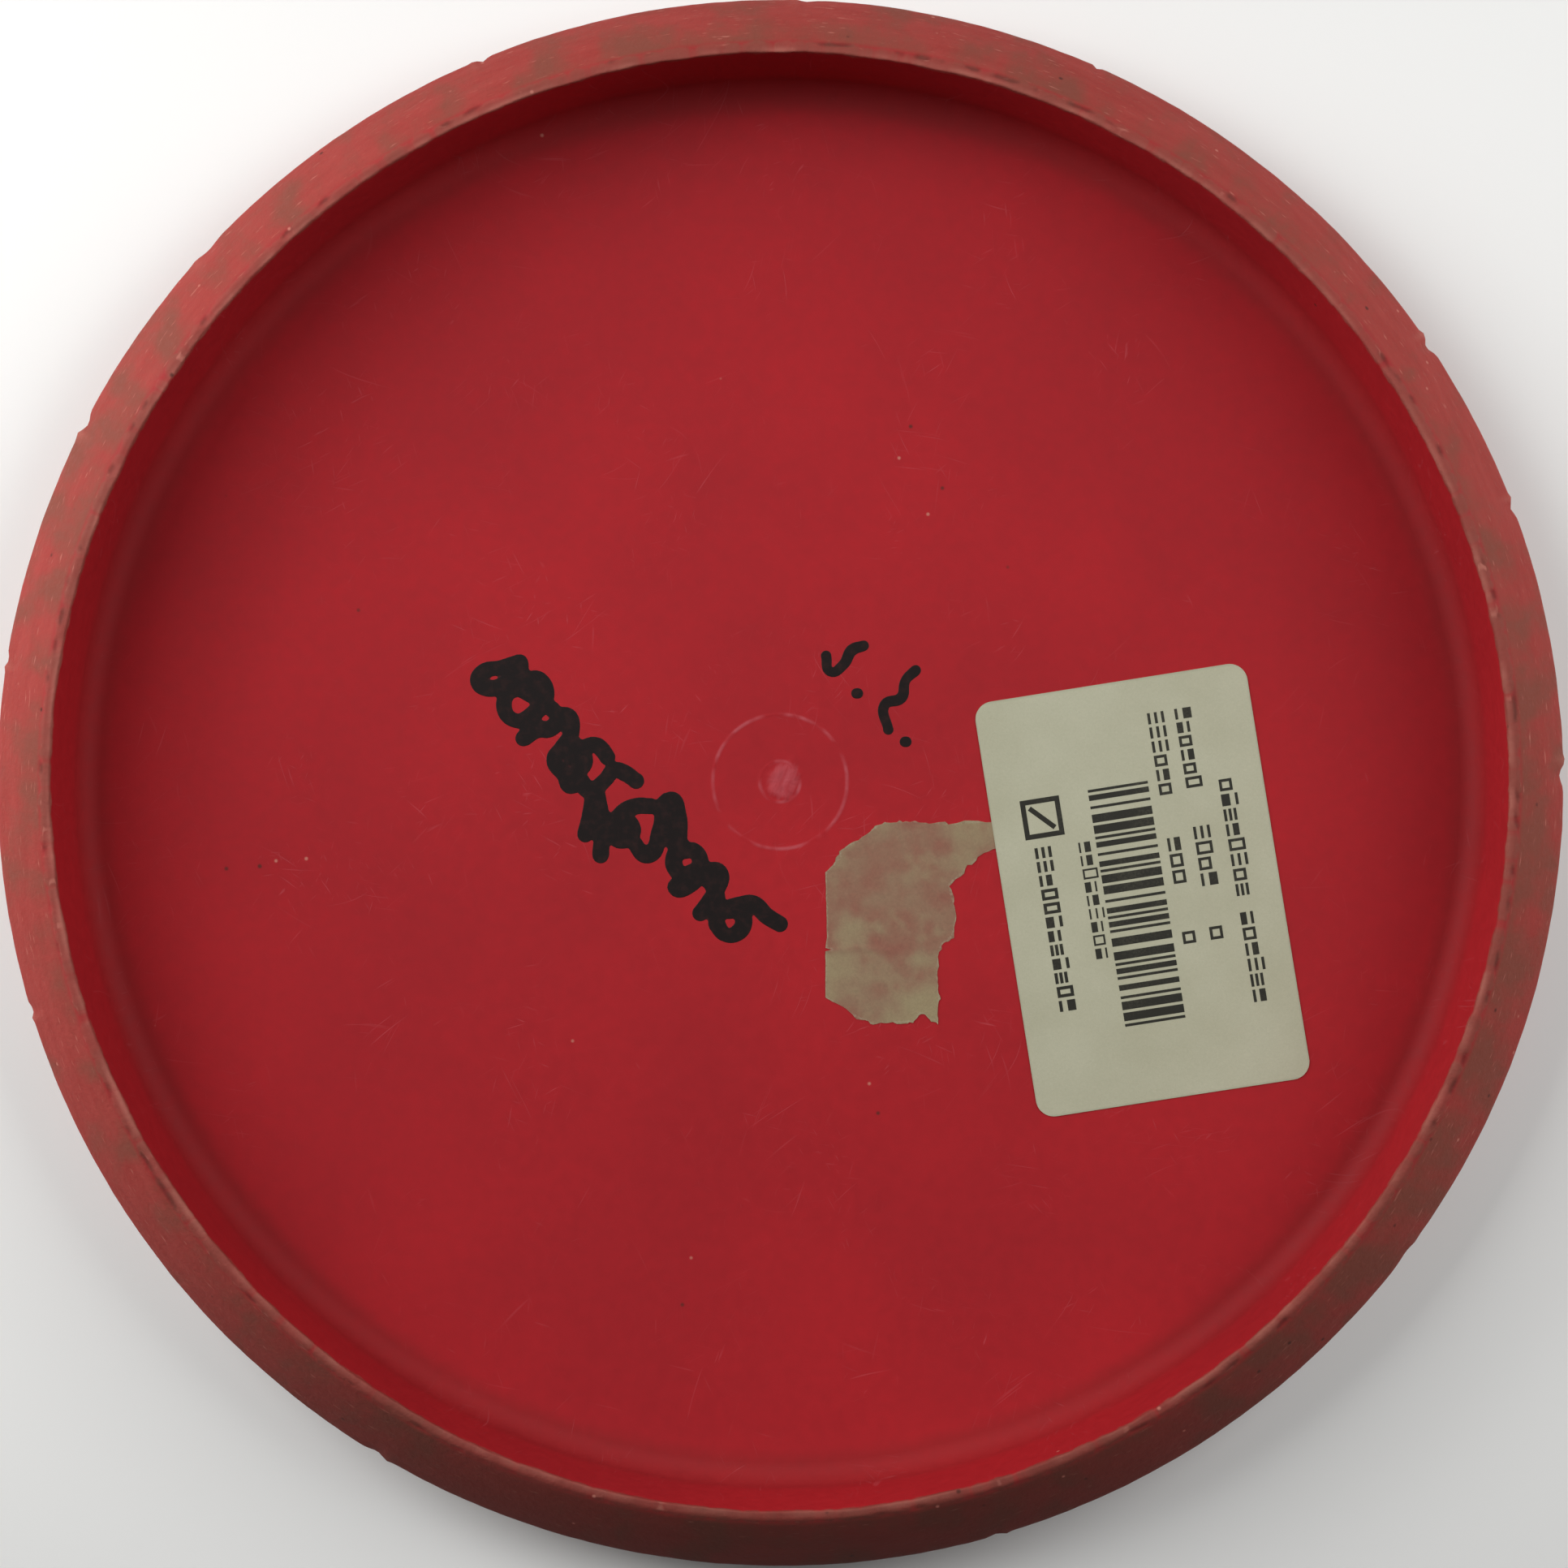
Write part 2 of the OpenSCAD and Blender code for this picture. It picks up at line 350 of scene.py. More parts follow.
def give_thickness(bm, thickness):
    """Extrudes a flat sheet upwards into a closed solid."""
    raised = bmesh.ops.extrude_face_region(bm, geom=bm.faces[:], use_keep_orig=True)["geom"]
    verts = [part for part in raised if isinstance(part, bmesh.types.BMVert)]
    bmesh.ops.translate(bm, verts=verts, vec=(0, 0, thickness))
    bmesh.ops.recalc_face_normals(bm, faces=bm.faces)


# %% [markdown]
# ## The price label
#
# A shop's self-adhesive label is die cut from coated paper about 0.1 mm thick. It starts as one
# rectangle whose corners are rounded with a vertex bevel. It is a little wavy, because the disc
# flexes under it, and its edge stands up by a few hundredths of a millimetre.

# %% Label sizes and place
LABEL_L = 58
LABEL_W = 38
LABEL_CORNER_R = 2.5
LABEL_AT = (50, -15)
LABEL_TURN = math.radians(-81)
PAPER_T = 0.1
SUNK = 0.02
label_place = Matrix.Translation((*LABEL_AT, 0)) @ Matrix.Rotation(LABEL_TURN, 4, "Z")


def label_lift(u, v):
    """How far the label's paper stands off the plate, in mm, at a place on the label."""
    at_edge = max(abs(u) / (LABEL_L / 2), abs(v) / (LABEL_W / 2)) ** 12
    waves = 0.5 + 0.5 * wave(u, v, 5, 13)
    return 0.04 * waves + 0.03 * at_edge * (0.5 + 0.5 * wave(v, u, 9, 17))


def lay_on_label(bm, above):
    """Moves a sheet from the label's own plane onto the label."""
    for vert in bm.verts:
        u, v, thick = vert.co
        spot = label_place @ Vector((u, v, 0))
        lift = label_lift(u, v) if thick > 0 or above > 0 else 0.0
        vert.co = (spot.x, spot.y, plate_height(spot.x, spot.y) + lift + above + thick)


# %% Cut, round and lay the label
def make_label():
    """The price label as one thin closed sheet on the dome."""
    bm = bmesh.new()
    bmesh.ops.create_grid(bm, x_segments=1, y_segments=1, size=0.5)
    bmesh.ops.scale(bm, verts=bm.verts, vec=(LABEL_L, LABEL_W, 1))
    bmesh.ops.bevel(
        bm, geom=bm.verts[:], affect="VERTICES", offset=LABEL_CORNER_R, segments=10,
        profile=0.5, material=-1,
    )
    cut_into_cells(bm, 1.5)
    give_thickness(bm, PAPER_T)
    lay_on_label(bm, 0)
    for vert in bm.verts:
        if vert.co.z < plate_height(vert.co.x, vert.co.y) + 0.01:
            vert.co.z -= SUNK
    return new_piece("price_label_paper", bm)


label = make_label()
describe(label)
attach(label, "root")
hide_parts("price_label")

# %% [markdown]
# ## The print on the label
#
# A thermal printer leaves a dark film with sharp edges. Each mark is a thin closed patch. The
# words are unreadable: a word is a row of marks as high and as wide as letters are, drawn from
# a few plain shapes in a random order. The bars' widths and gaps come from the remainders of a
# sum, so they code nothing.

# %% Marks as rectangles: u, v, width and height in the label's plane
INK_T = 0.02
BAR_COUNT = 27
BAR_UNIT = 0.385
BAR_H = 8.4
BARS_FROM = -14.8
BARS_LEVEL = -1
marks = []
at = BARS_FROM
for i in range(BAR_COUNT):
    bar_w = BAR_UNIT * (1 + (i * i % 7) % 4)
    marks.append((at + bar_w / 2, BARS_LEVEL, bar_w, BAR_H))
    at += bar_w + BAR_UNIT * (1 + (i * 3 % 5) % 2)
print("bars:", len(marks), "from", BARS_FROM, "to", round(at, 1))

# %% Words made of letter-high marks
PRINT_LINES = [
    # level, height, stroke, then start and length of each word
    (14.0, 2.3, 0.40, [(-13.4, 16.3), (5.2, 12.5)]),
    (9.5, 2.3, 0.40, [(-24.0, 11.1), (-7.5, 8.3), (6.5, 1.8)]),
    (5.7, 2.3, 0.40, [(-24.0, 11.5), (-6.5, 6.4), (6.6, 1.7)]),
    (-6.6, 2.1, 0.26, [(-7.8, 16.3)]),
    (-12.6, 2.3, 0.45, [(-8.0, 22.9)]),
]
LETTER_GAP = 0.42
draw = random.Random(7)


def letter_mark(u, v, width, height, stroke):
    """One mark of a word, as rectangles that don't overlap: rungs, a frame, a brick or a cup."""
    kind = draw.choice(["rungs", "frame", "frame", "brick", "cup"])
    tall = height * draw.choice([0.78, 0.78, 1.0])
    low = v - height / 2
    middle = u + width / 2
    if kind == "rungs":
        levels = (stroke / 2, tall / 2, tall - stroke / 2)
        return [(middle, low + y, width, stroke) for y in levels]
    if kind == "frame":
        sides = [(u + x, low + tall / 2, stroke, tall) for x in (stroke / 2, width - stroke / 2)]
        ends = [(middle, low + y, width - 2 * stroke, stroke) for y in (stroke / 2, tall - stroke / 2)]
        return sides + ends
    block_h = (tall - stroke) * 0.62
    if kind == "brick":
        return [(middle, low + block_h / 2, width, block_h), (middle, low + tall - stroke / 2, width, stroke)]
    return [(middle, low + stroke / 2, width, stroke), (middle, low + tall - block_h / 2, width, block_h)]


for level, height, stroke, words in PRINT_LINES:
    for start, length in words:
        count = max(1, round(length / (height * 0.66 + LETTER_GAP)))
        width = (length + LETTER_GAP) / count - LETTER_GAP
        for i in range(count):
            marks += letter_mark(start + i * (width + LETTER_GAP), level, width, height, stroke)
print("print marks:", len(marks))

# %% Plain badge: a square frame with a bar across
BADGE_AT = (-12, -12)
BADGE = 5.5
BADGE_LINE = 0.7
inside = BADGE - 2 * BADGE_LINE
for side in (-1, 1):
    marks.append((BADGE_AT[0] + side * (BADGE - BADGE_LINE) / 2, BADGE_AT[1], BADGE_LINE, BADGE))
    marks.append((BADGE_AT[0], BADGE_AT[1] + side * (BADGE - BADGE_LINE) / 2, inside, BADGE_LINE))
badge_bar_length = inside * math.sqrt(2) - 2 * BADGE_LINE


# %% Print all marks on the paper
def make_print():
    """All the print as thin closed patches on the label."""
    bm = bmesh.new()
    for u, v, width, height in marks:
        patch = bmesh.ops.create_grid(bm, x_segments=1, y_segments=1, size=0.5)["verts"]
        bmesh.ops.scale(bm, verts=patch, vec=(width, height, 1))
        bmesh.ops.translate(bm, verts=patch, vec=(u, v, 0))
    patch = bmesh.ops.create_grid(bm, x_segments=1, y_segments=1, size=0.5)["verts"]
    bmesh.ops.scale(bm, verts=patch, vec=(badge_bar_length, BADGE_LINE, 1))
    bmesh.ops.rotate(bm, verts=patch, cent=(0, 0, 0), matrix=Matrix.Rotation(math.radians(45), 3, "Z"))
    bmesh.ops.translate(bm, verts=patch, vec=(*BADGE_AT, 0))
    cut_into_cells(bm, 2.0)
    give_thickness(bm, INK_T)
    lay_on_label(bm, PAPER_T - INK_T / 2)
    return new_piece("label_print_ink", bm)


label_print = make_print()
describe(label_print)
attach(label_print, "root")
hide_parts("label_print")

# %% [markdown]
# ## What is left of the older label
#
# Someone peeled an older label off and it split. What stayed is the paper's lower layer, thin and
# fibrous, with islands of the full thickness, a crease, and an edge torn in small bites. The
# outline is listed point by point, its edges are subdivided and moved by noise, and the thickness at
# each point is stored as an attribute, so that the material can show the red through the
# thin places.

# %% Outline of the remnant, in mm, anticlockwise from its lower left corner
REMNANT = [
    (6.3, -29.8), (9.9, -32.2), (13.0, -33.6), (15.6, -33.3), (18.7, -33.2), (19.4, -31.9), (22.0, -33.5),
    (22.0, -29.6), (21.8, -25.7), (22.3, -22.6), (23.9, -21.3), (24.5, -18.4), (23.4, -14.3),
    (27.0, -10.9), (32.0, -8.0), (32.0, -5.3), (23.4, -5.8), (18.0, -5.4), (14.3, -5.6),
    (12.2, -7.0), (8.6, -9.4), (8.1, -10.9), (6.3, -12.5), (6.5, -21.5), (6.3, -23.0), (7.3, -23.2),
    (6.3, -23.4),
]
CREASE_Y = -23.2
TORN_FROM_X = 7.5
REMNANT_CELL = 0.4
EDGE_BAND = 0.5


def gap_to_line(x, y, start, end):
    """Distance from a point to a straight piece of the outline."""
    run = Vector(end) - Vector(start)
    to_point = Vector((x, y)) - Vector(start)
    share = max(0.0, min(1.0, to_point.dot(run) / run.length_squared))
    return (to_point - run * share).length


def remnant_thickness(x, y):
    """Share of the paper's thickness that stayed, from 0 to 1."""
    islands = 0.42 + 0.5 * wave(x, y, 11, 5.0) + 0.22 * wave(x, y, 12, 2.0) + 0.1 * wave(x, y, 5, 0.8)
    below_crease = 0.35 * max(0.0, min(1.0, (CREASE_Y - y + 0.4 * wave(x, 0, 3, 3)) / 1.2))
    by_label = 0.15 * max(0.0, min(1.0, (x - 22) / 4))
    return max(0.0, min(1.0, islands + below_crease + by_label))


# %% Tear the edge, cut the sheet and lay it
def make_remnant():
    """The torn layer, with attributes that tell the material its thickness and its edge."""
    bm = bmesh.new()
    corners = [bm.verts.new((x, y, 0)) for x, y in REMNANT]
    bm.faces.new(corners)
    bmesh.ops.subdivide_edges(bm, edges=bm.edges[:], cuts=7)
    for vert in bm.verts:
        x, y, _ = vert.co
        torn = 1.0 if x > TORN_FROM_X else 0.15
        vert.co.x += torn * (0.45 * wave(x, y, 3, 1.5) + 0.3 * wave(x, y, 3, 0.6))
        vert.co.y += torn * (0.45 * wave(x, y, 8, 1.5) + 0.3 * wave(x, y, 8, 0.6))
    edge_dir = label_place.to_3x3() @ Vector((0, 1, 0))
    edge_co = label_place @ Vector((0, -LABEL_W / 2 + 0.05, 0))
    geom = bm.verts[:] + bm.edges[:] + bm.faces[:]
    bmesh.ops.bisect_plane(bm, geom=geom, plane_co=edge_co, plane_no=edge_dir, clear_outer=True)
    cut_into_cells(bm, REMNANT_CELL)
    give_thickness(bm, PAPER_T)
    peel = bm.verts.layers.float.new("thickness_left")
    torn_edge = bm.verts.layers.float.new("torn_edge")
    sides = list(zip(REMNANT, REMNANT[1:] + REMNANT[:1]))
    for vert in bm.verts:
        x, y, thick = vert.co
        share = remnant_thickness(x, y)
        vert[peel] = share
        vert[torn_edge] = max(0.0, 1 - min(gap_to_line(x, y, *side) for side in sides) / EDGE_BAND)
        if thick > 0:
            fibre = 0.5 + 0.5 * wave(x, y, 4, 0.5)
            crease = 0.12 * hump(y, CREASE_Y + 0.5 * wave(x, 0, 0, 4), 0.35) * (x < 16)
            vert.co.z = plate_height(x, y) + 0.025 + 0.075 * share + 0.02 * fibre + crease
        else:
            vert.co.z = plate_height(x, y) - SUNK
    return new_piece("old_label_remnant_paper", bm)


remnant = make_remnant()
describe(remnant)
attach(remnant, "root")
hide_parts("old_label_remnant")

# %% [markdown]
# ## Marker ink
#
# Someone crossed a word out with a thick marker, and made two small marks with a thinner one.
# A pen draws a line, so each stroke starts as a curve with a round section whose radius
# changes with the hand's pressure. All strokes are melted into one closed body with the
# voxel remesh, so crossings leave no doubled faces, and the body is pressed flat to the
# thickness of an ink film.


# %% A pen stroke, and the film that a set of strokes leaves
def pen_strokes(name, strokes, width):
    """A curve object, in mm, with one spline for each stroke."""
    curve = bpy.data.curves.new(name, "CURVE")
    curve.dimensions = "3D"
    curve.bevel_depth = width / 2
    curve.bevel_resolution = 4
    curve.use_fill_caps = True
    for points in strokes:
        spline = curve.splines.new("BEZIER")
        spline.resolution_u = 8
        spline.bezier_points.add(len(points) - 1)
        for point, (x, y) in zip(spline.bezier_points, points):
            point.co = (x, y, 0)
            point.handle_left_type = "AUTO"
            point.handle_right_type = "AUTO"
            point.radius = 1 + 0.22 * wave(x, y, 2, 2.3)
    pen = bpy.data.objects.new(name, curve)
    bpy.context.scene.collection.objects.link(pen)
    return pen


def baked_mesh(scratch):
    """The mesh of an object with its modifiers, after which the object is removed."""
    graph = bpy.context.evaluated_depsgraph_get()
    mesh = bpy.data.meshes.new_from_object(scratch.evaluated_get(graph))
    bpy.data.objects.remove(scratch)
    return mesh


FILM_T = 0.03
FILM_EDGE = 0.3


def ink_film(name, strokes, width, voxel):
    """Melts pen strokes into one flat closed film on the plate."""
    bm = bmesh.new()
    bm.from_mesh(baked_mesh(pen_strokes(name, strokes, width)))
    for points in strokes:
        for x, y in (points[0], points[-1]):
            end = Matrix.Translation((x, y, 0))
            bmesh.ops.create_icosphere(bm, subdivisions=3, radius=width / 2, matrix=end)
    mesh = bpy.data.meshes.new(name)
    bm.to_mesh(mesh)
    bm.free()
    melted = bpy.data.objects.new(name, mesh)
    bpy.context.scene.collection.objects.link(melted)
    remesh = melted.modifiers.new("melt", "REMESH")
    remesh.mode = "VOXEL"
    remesh.voxel_size = voxel
    bm = bmesh.new()
    bm.from_mesh(baked_mesh(melted))
    for vert in bm.verts:
        x, y, z = vert.co
        vert.co.z = plate_height(x, y) + FILM_T * max(-1.0, min(1.0, z / FILM_EDGE))
    bmesh.ops.recalc_face_normals(bm, faces=bm.faces)
    return new_piece(name, bm)


# %% Crossing-out scribble: the strokes of a hand that runs to and fro down the slope
THICK_W = 2.3
SCRIBBLE = [
    # The first oval and the run down from it
    [(-36.0, 16.5), (-38.7, 15.8), (-41.2, 15.1), (-41.8, 13.8), (-40.3, 12.9), (-37.7, 13.8), (-35.9, 15.8)],
    [(-36.0, 16.5), (-35.5, 14.3), (-33.3, 14.0), (-32.4, 11.7), (-34.0, 9.5), (-36.8, 8.5), (-38.2, 10.8),
     (-36.8, 12.6), (-34.6, 12.0), (-31.5, 10.0)],
    [(-35.5, 6.0), (-33.6, 7.2), (-31.8, 7.3), (-29.6, 9.2), (-28.9, 6.7), (-30.2, 4.6), (-31.3, 3.0),
     (-29.8, 0.9), (-28.9, -0.7), (-28.0, 1.2), (-27.0, 2.9), (-28.2, 5.0)],
    # Two flicks to the right, then the leg down
    [(-28.8, 3.4), (-27.3, 4.6), (-25.5, 5.1), (-24.6, 4.4), (-23.9, 3.4)],
    [(-27.6, 0.2), (-26.4, -1.2), (-24.2, 0.2), (-22.9, 1.6), (-21.5, 1.2), (-19.9, 0.1)],
    [(-25.8, -1.0), (-26.1, -4.4), (-26.9, -7.3)],
    [(-25.2, -2.0), (-24.6, -5.2), (-24.8, -10.2)],
    # The round blot with its flick, and the peak
    [(-25.0, -6.2), (-22.6, -5.4), (-20.8, -5.8), (-20.5, -7.4), (-22.2, -8.0), (-23.2, -6.8), (-21.2, -6.6)],
    [(-22.8, -5.2), (-21.4, -4.0), (-19.8, -3.4), (-17.9, -3.4)],
    [(-20.4, -8.2), (-18.2, -10.2), (-16.6, -6.6), (-15.1, -2.4), (-14.0, -4.6), (-13.8, -8.4)],
    [(-17.4, -9.4), (-15.8, -6.4), (-15.0, -4.6), (-15.2, -7.6), (-14.4, -8.8)],
    # Small loops down to the last one, and the tail
    [(-13.9, -8.4), (-14.7, -11.2), (-13.8, -13.6), (-14.6, -14.8), (-12.2, -14.2), (-11.0, -11.8),
     (-11.8, -9.6), (-13.2, -9.6)],
    [(-12.4, -12.6), (-10.2, -12.4), (-8.4, -12.6), (-8.8, -15.0), (-10.0, -16.9), (-11.0, -18.2)],
    [(-9.6, -14.0), (-8.6, -16.4), (-9.6, -17.6), (-8.0, -17.9), (-5.4, -18.2), (-5.0, -19.4), (-5.7, -20.8),
     (-7.5, -21.2), (-8.8, -19.6)],
    [(-8.4, -17.8), (-5.5, -17.0), (-3.7, -16.9), (-1.8, -18.6), (0.0, -19.7)],
]
scribble = ink_film("marker_scribble_ink", SCRIBBLE, THICK_W, 0.2)
describe(scribble)
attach(scribble, "root")
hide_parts("marker_scribble")

# %% Two small marks, each with a dot
THIN_W = 1.5
SMALL_MARKS = [
    [(6.4, 17.4), (7.0, 15.2), (8.8, 16.2), (10.0, 18.2), (11.6, 18.8)],
    [(10.6, 12.2), (10.8, 12.2)],
    [(15.0, 7.2), (14.5, 10.6), (16.8, 11.6), (17.4, 14.0), (18.8, 15.4)],
    [(17.3, 5.5), (17.5, 5.5)],
]
squiggle = ink_film("marker_squiggle_ink", SMALL_MARKS, THIN_W, 0.12)
describe(squiggle)
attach(squiggle, "root")
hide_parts("marker_squiggle")

# %% [markdown]
# ## Materials
#
# Every finish is a small program of nodes that reads the object's own coordinates. Two helpers
# serve them all: one adds a node with its settings and links, and one turns a hex colour, as a
# picture program shows it, into the linear values that light is reckoned in.


# %% Node and colour helpers
def add(tree, kind, inputs=(), out=0, **settings):
    """Adds a shader node with its settings and links, and returns one of its outputs."""
    node = tree.nodes.new("ShaderNode" + kind)
    for name, value in settings.items():
        setattr(node, name, value)
    for key, value in dict(inputs).items():
        if isinstance(value, bpy.types.NodeSocket):
            tree.links.new(value, node.inputs[key])
        else:
            node.inputs[key].default_value = value
    return node.outputs[out] if node.outputs else None


def linear(code):
    """Linear RGBA of an sRGB hex colour."""
    channels = [int(code[i:i + 2], 16) / 255 for i in (1, 3, 5)]
    return [c / 12.92 if c <= 0.04045 else ((c + 0.055) / 1.055) ** 2.4 for c in channels] + [1]


def blank_material(name):
    """A material with an empty node tree."""
    material = bpy.data.materials.new(name)
    material.use_nodes = True
    material.node_tree.nodes.clear()
    return material


# %% [markdown]
# ### The moulded polymer
#
# Putters are moulded from a soft thermoplastic in one colour. The mould gives the inner face an
# even satin finish. Use does the rest: the rim is scuffed to a paler, rougher pink, grit and
# grass leave olive-brown clouds on it, the pits along the lip hold dirt, and the inner face
# has fine pale scratches and a few specks. Radius and height, worked out from the object's
# coordinates, say which of these a point gets.
# Some shade is painted into the colour too: the rim darkens towards -Y, and the inner corner at the foot of
# the wall darkens.

# %% Colours of the moulded disc
RED = linear("#A41C23")
DEEP_RED = linear("#9B1B22")
RIM_RED = linear("#94342E")
SCUFFED = linear("#9F3F39")
OLIVE_DIRT = linear("#7E4336")
LIP_BROWN = linear("#8A4039")
# The dark brown below is used both for real dirt and grit and for painted shade
DARK_DIRT_AND_PAINTED_SHADE = linear("#43241D")
WORN_EDGE = linear("#BE7668")
SCRATCH_PALE = linear("#B2484E")
GATE_PALE = linear("#B8626A")

# %% Where scratches run: direction in degrees, length and width in mm, and a shift
SCRATCH_SETS = [(28, 16, 0.34, 3), (63, 11, 0.30, 41), (-12, 20, 0.34, 87), (112, 9, 0.28, 133)]


def moulded_polymer():
    """Soft red thermoplastic, injection moulded, scuffed and dirty on the rim, with painted shade on the
    rim's -Y side and in the inner corner.
    """
    material = blank_material("moulded_red_polymer_scuffed")
    tree = material.node_tree
    place = add(tree, "TexCoord", out="Object")
    mm = add(tree, "VectorMath", {0: place, "Scale": 1 / MM}, operation="SCALE")
    flat = add(tree, "VectorMath", {0: mm, 1: (1, 1, 0)}, operation="MULTIPLY")
    radius = add(tree, "VectorMath", {0: flat}, out="Value", operation="LENGTH")
    height = add(tree, "SeparateXYZ", {0: mm}, out="Z")

    # Coordinates that run round the rim, for streaks and smears
    spoke = add(tree, "VectorMath", {0: flat}, operation="NORMALIZE")
    girth = add(tree, "VectorMath", {0: spoke, "Scale": DISC_R}, operation="SCALE")
    climb = add(tree, "CombineXYZ", {"Z": height})
    ring = add(tree, "VectorMath", {0: girth, 1: climb}, operation="ADD")
    streaks_at = add(tree, "VectorMath", {0: ring, 1: (0.12, 0.12, 0.9)}, operation="MULTIPLY")

    # Which part of the moulding a point is on
    on_rim = add(tree, "MapRange", {
        "Value": radius, "From Min": MOUTH_R + 0.7, "From Max": MOUTH_R + 2.2,
    }, interpolation_type="SMOOTHSTEP")
    ragged = add(tree, "TexNoise", {"Vector": ring, "Scale": 1 / 2.2, "Detail": 3.0})
    ragged = add(tree, "Math", {0: ragged, 1: 2.2, 2: height}, operation="MULTIPLY_ADD")
    near_top = add(tree, "MapRange", {
        "Value": ragged, "From Min": DISC_H + 0.1, "From Max": DISC_H + 1.0,
    }, interpolation_type="SMOOTHSTEP")
    outside = add(tree, "MapRange", {
        "Value": radius, "From Min": MOUTH_R - 0.35, "From Max": MOUTH_R - 0.05,
    }, interpolation_type="SMOOTHSTEP")
    on_lip = add(tree, "Math", {0: outside, 1: near_top}, operation="MULTIPLY")
    lip_and_rim = add(tree, "Math", {0: on_lip, 1: on_rim}, operation="MAXIMUM")
    low_down = add(tree, "MapRange", {
        "Value": height, "From Min": 1.0, "From Max": 7.0, "To Min": 0.35, "To Max": 1.0,
    }, interpolation_type="SMOOTHSTEP")
    worn_part = add(tree, "Math", {0: lip_and_rim, 1: low_down}, operation="MULTIPLY")

    # The plastic's own colour, a little uneven
    clouds = add(tree, "TexNoise", {"Vector": mm, "Scale": 1 / 38, "Detail": 3.0})
    clouds = add(tree, "MapRange", {"Value": clouds, "From Min": 0.38, "From Max": 0.62})
    colour = add(tree, "Mix", {0: clouds, 6: DEEP_RED, 7: RED}, out=2, data_type="RGBA")
    mottle = add(tree, "TexNoise", {"Vector": mm, "Scale": 1 / 1.6, "Detail": 3.0, "Roughness": 0.55})
    mottle_amount = add(tree, "MapRange", {
        "Value": mottle, "From Min": 0.3, "From Max": 0.7, "To Min": 0.95, "To Max": 1.05,
    })
    colour = add(tree, "VectorMath", {0: colour, "Scale": mottle_amount}, operation="SCALE")

    # Fine pale scratches on the faces
    bend = add(tree, "TexNoise", {"Vector": mm, "Scale": 1 / 22, "Detail": 0.0}, out="Color")
    bend = add(tree, "VectorMath", {0: bend, "Scale": 14.0}, operation="SCALE")
    bent = add(tree, "VectorMath", {0: flat, 1: bend}, operation="ADD")
    scratches = None
    for direction, length, width, shift in SCRATCH_SETS:
        laid = add(tree, "Mapping", {
            "Vector": bent, "Location": (shift, shift, 0), "Rotation": (0, 0, math.radians(direction)),
            "Scale": (length, width, 1),
        }, vector_type="TEXTURE")
        lines = add(tree, "TexNoise", {"Vector": laid, "Scale": 1.0, "Detail": 1.0})
        lines = add(tree, "MapRange", {"Value": lines, "From Min": 0.70, "From Max": 0.80})
        if scratches:
            lines = add(tree, "Math", {0: scratches, 1: lines}, operation="MAXIMUM")
        scratches = lines
    patches = add(tree, "TexNoise", {"Vector": mm, "Scale": 1 / 14, "Detail": 1.0})
    patches = add(tree, "MapRange", {"Value": patches, "From Min": 0.45, "From Max": 0.65})
    scratches = add(tree, "Math", {0: scratches, 1: patches}, operation="MULTIPLY")
    scratch_tint = add(tree, "Math", {0: scratches, 1: 0.42}, operation="MULTIPLY")
    colour = add(tree, "Mix", {0: scratch_tint, 6: colour, 7: SCRATCH_PALE}, out=2, data_type="RGBA")

    # Scuffed rim: paler plastic, then clouds of dirt
    grain = add(tree, "TexNoise", {"Vector": mm, "Scale": 1 / 0.9, "Detail": 4.0, "Roughness": 0.6})
    streaks = add(tree, "TexNoise", {"Vector": streaks_at, "Scale": 1.0, "Detail": 4.0, "Roughness": 0.55})
    pinkness = add(tree, "Math", {0: grain, 1: streaks}, operation="ADD")
    pinkness = add(tree, "MapRange", {"Value": pinkness, "From Min": 0.75, "From Max": 1.3})
    rim_colour = add(tree, "Mix", {0: pinkness, 6: RIM_RED, 7: SCUFFED}, out=2, data_type="RGBA")
    dirt_clouds = add(tree, "TexNoise", {"Vector": ring, "Scale": 1 / 6, "Detail": 4.0, "Roughness": 0.5})
    dirt_drift = add(tree, "TexNoise", {"Vector": ring, "Scale": 1 / 60, "Detail": 1.0})
    dirtiness = add(tree, "Math", {0: dirt_drift, 1: 0.5, 2: dirt_clouds}, operation="MULTIPLY_ADD")
    edge_dirt = add(tree, "MapRange", {
        "Value": height, "From Min": DISC_H - 4.5, "From Max": DISC_H, "To Min": 0.0, "To Max": 0.10,
    })
    dirtiness = add(tree, "Math", {0: dirtiness, 1: edge_dirt}, operation="ADD")
    dirtiness = add(tree, "MapRange", {
        "Value": dirtiness, "From Min": 0.66, "From Max": 1.0, "To Max": 0.9,
    }, interpolation_type="SMOOTHSTEP")
    rim_colour = add(tree, "Mix", {0: dirtiness, 6: rim_colour, 7: OLIVE_DIRT}, out=2, data_type="RGBA")
    lip_tint = add(tree, "Math", {0: on_rim, 1: 1.0}, operation="SUBTRACT")
    lip_tint = add(tree, "Math", {0: lip_tint, 1: -0.6}, operation="MULTIPLY")
    rim_colour = add(tree, "Mix", {0: lip_tint, 6: rim_colour, 7: LIP_BROWN}, out=2, data_type="RGBA")
    colour = add(tree, "Mix", {0: worn_part, 6: colour, 7: rim_colour}, out=2, data_type="RGBA")

